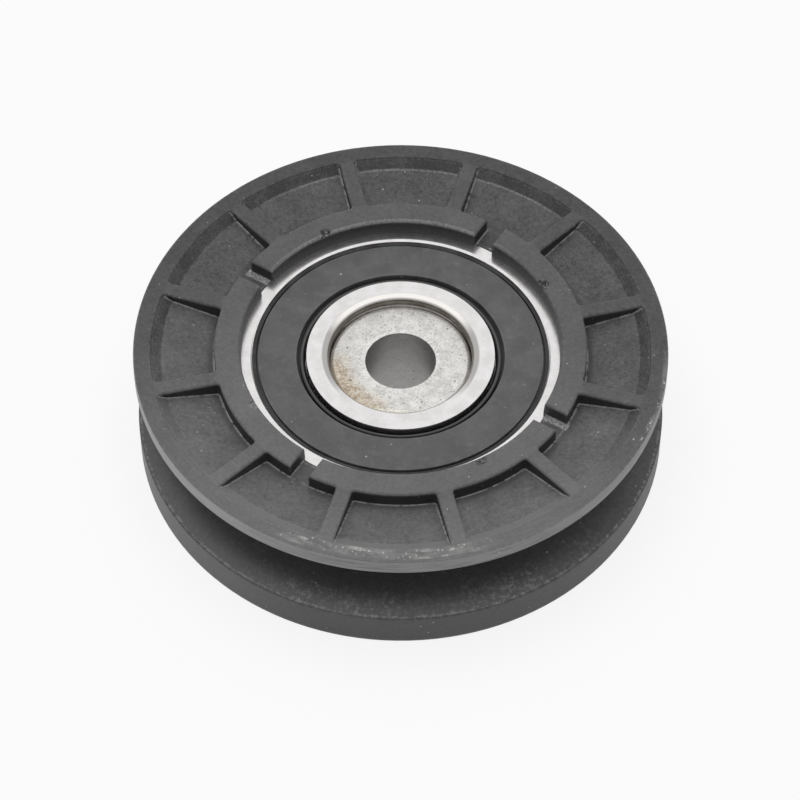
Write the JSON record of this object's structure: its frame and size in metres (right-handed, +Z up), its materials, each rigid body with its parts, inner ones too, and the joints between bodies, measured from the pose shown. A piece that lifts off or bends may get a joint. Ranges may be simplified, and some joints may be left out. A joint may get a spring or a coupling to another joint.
{
  "type": "tensioner pulley",
  "caption": "Ribbed black plastic V-belt tensioner pulley moulded round a sealed ball bearing, with a set-back steel bush for its bolt; the rim spins freely about the bush.",
  "frame": {"origin": "centre of the lower rim, on the surface that the pulley lies on", "axes": "+Z up along the axis of the bore and the bearing, towards the side with the set-back bush"},
  "size_m": [0.0634, 0.0634, 0.0159],
  "materials": {
    "moulded_plastic": "dull moulded",
    "bearing_steel": "ground",
    "seal_rubber": "smooth",
    "cage_steel": "pressed sheet",
    "bush_steel": "rough, stained",
    "ball_steel": "polished"
  },
  "bodies": {
    "hub": {"bearing_inner_ring": "bearing_steel", "bolt_bush": "bush_steel"},
    "pulley": {"pulley_body": "moulded_plastic", "bearing_outer_ring": "bearing_steel", "upper_seal": "seal_rubber", "lower_seal": "seal_rubber"},
    "cage": {"cage_upper_half": "cage_steel", "cage_lower_half": "cage_steel", "cage_rivets": "cage_steel"},
    "rolling_ball_1": {"ball_1": "ball_steel"},
    "rolling_ball_2": {"ball_2": "ball_steel"},
    "rolling_ball_3": {"ball_3": "ball_steel"},
    "rolling_ball_4": {"ball_4": "ball_steel"},
    "rolling_ball_5": {"ball_5": "ball_steel"},
    "rolling_ball_6": {"ball_6": "ball_steel"},
    "rolling_ball_7": {"ball_7": "ball_steel"},
    "rolling_ball_8": {"ball_8": "ball_steel"}
  },
  "joints": [
    {"name": "pulley_spin", "type": "hinge", "parent": "hub", "child": "pulley", "pos_m": [0, 0, 0.00794], "axis": [0, 0, 1], "continuous": true},
    {"name": "cage_spin", "type": "hinge", "parent": "hub", "child": "cage", "pos_m": [0, 0, 0.00794], "axis": [0, 0, 1], "continuous": true},
    {"name": "ball_1_spin", "type": "hinge", "parent": "cage", "child": "rolling_ball_1", "pos_m": [0.01425, 0, 0.00794], "axis": [0, 0, 1], "continuous": true},
    {"name": "ball_2_spin", "type": "hinge", "parent": "cage", "child": "rolling_ball_2", "pos_m": [0.01008, 0.01008, 0.00794], "axis": [0, 0, 1], "continuous": true},
    {"name": "ball_3_spin", "type": "hinge", "parent": "cage", "child": "rolling_ball_3", "pos_m": [0, 0.01425, 0.00794], "axis": [0, 0, 1], "continuous": true},
    {"name": "ball_4_spin", "type": "hinge", "parent": "cage", "child": "rolling_ball_4", "pos_m": [-0.01008, 0.01008, 0.00794], "axis": [0, 0, 1], "continuous": true},
    {"name": "ball_5_spin", "type": "hinge", "parent": "cage", "child": "rolling_ball_5", "pos_m": [-0.01425, 0, 0.00794], "axis": [0, 0, 1], "continuous": true},
    {"name": "ball_6_spin", "type": "hinge", "parent": "cage", "child": "rolling_ball_6", "pos_m": [-0.01008, -0.01008, 0.00794], "axis": [0, 0, 1], "continuous": true},
    {"name": "ball_7_spin", "type": "hinge", "parent": "cage", "child": "rolling_ball_7", "pos_m": [0, -0.01425, 0.00794], "axis": [0, 0, 1], "continuous": true},
    {"name": "ball_8_spin", "type": "hinge", "parent": "cage", "child": "rolling_ball_8", "pos_m": [0.01008, -0.01008, 0.00794], "axis": [0, 0, 1], "continuous": true}
  ],
  "couplings": [
    {"joint": "cage_spin", "follows": "pulley_spin", "ratio": 0.61837},
    {"joint": "ball_1_spin", "follows": "pulley_spin", "ratio": 1.9937},
    {"joint": "ball_2_spin", "follows": "pulley_spin", "ratio": 1.9937},
    {"joint": "ball_3_spin", "follows": "pulley_spin", "ratio": 1.9937},
    {"joint": "ball_4_spin", "follows": "pulley_spin", "ratio": 1.9937},
    {"joint": "ball_5_spin", "follows": "pulley_spin", "ratio": 1.9937},
    {"joint": "ball_6_spin", "follows": "pulley_spin", "ratio": 1.9937},
    {"joint": "ball_7_spin", "follows": "pulley_spin", "ratio": 1.9937},
    {"joint": "ball_8_spin", "follows": "pulley_spin", "ratio": 1.9937}
  ]
}
